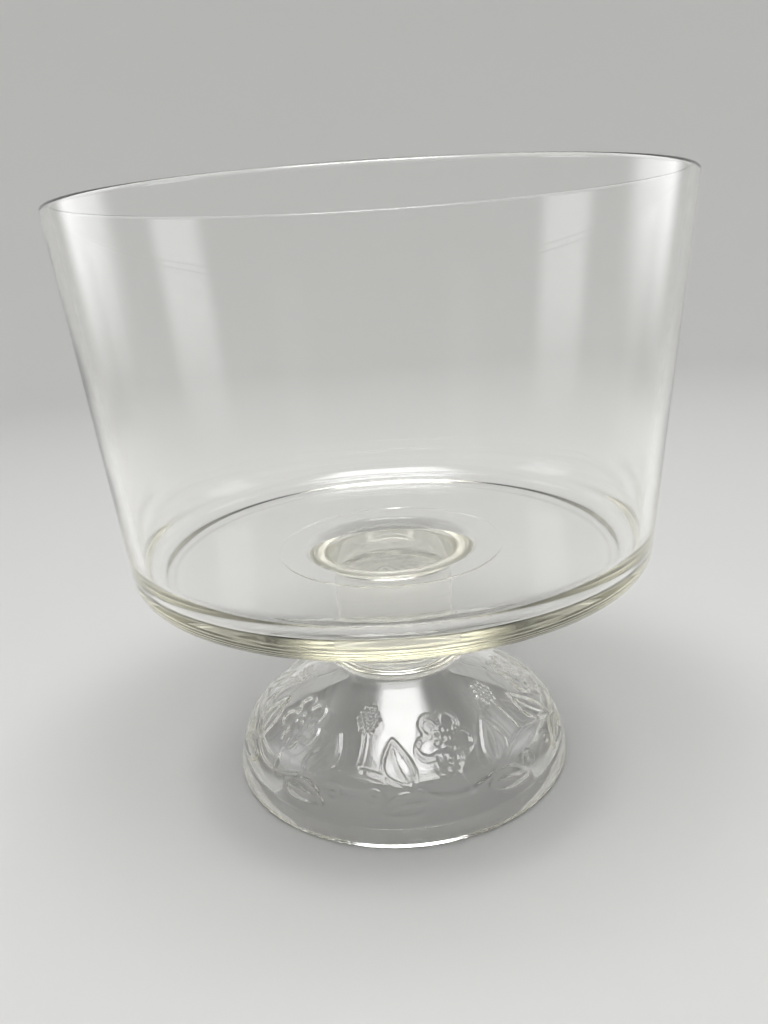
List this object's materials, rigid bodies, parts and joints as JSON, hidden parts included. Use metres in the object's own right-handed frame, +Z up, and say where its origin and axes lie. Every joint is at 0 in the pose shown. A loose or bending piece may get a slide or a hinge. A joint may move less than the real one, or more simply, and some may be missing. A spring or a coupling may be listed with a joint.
{
  "type": "trifle bowl",
  "caption": "Footed trifle bowl of clear pressed glass: deep straight-sided bowl, short solid stem and hollow domed foot with a pressed floral relief.",
  "frame": {"origin": "centre of the foot's standing ring, on the surface that the bowl stands on", "axes": "+Z up along the bowl's axis of revolution; X and Y are free, because the bowl is round"},
  "size_m": [0.2038, 0.2038, 0.2055],
  "materials": {
    "clear_glass": "clear pressed soda-lime glass, fire-polished, faint straw tint in thick sections"
  },
  "bodies": {
    "root": {"bowl": "clear_glass", "stem": "clear_glass", "foot": "clear_glass"}
  },
  "joints": []
}
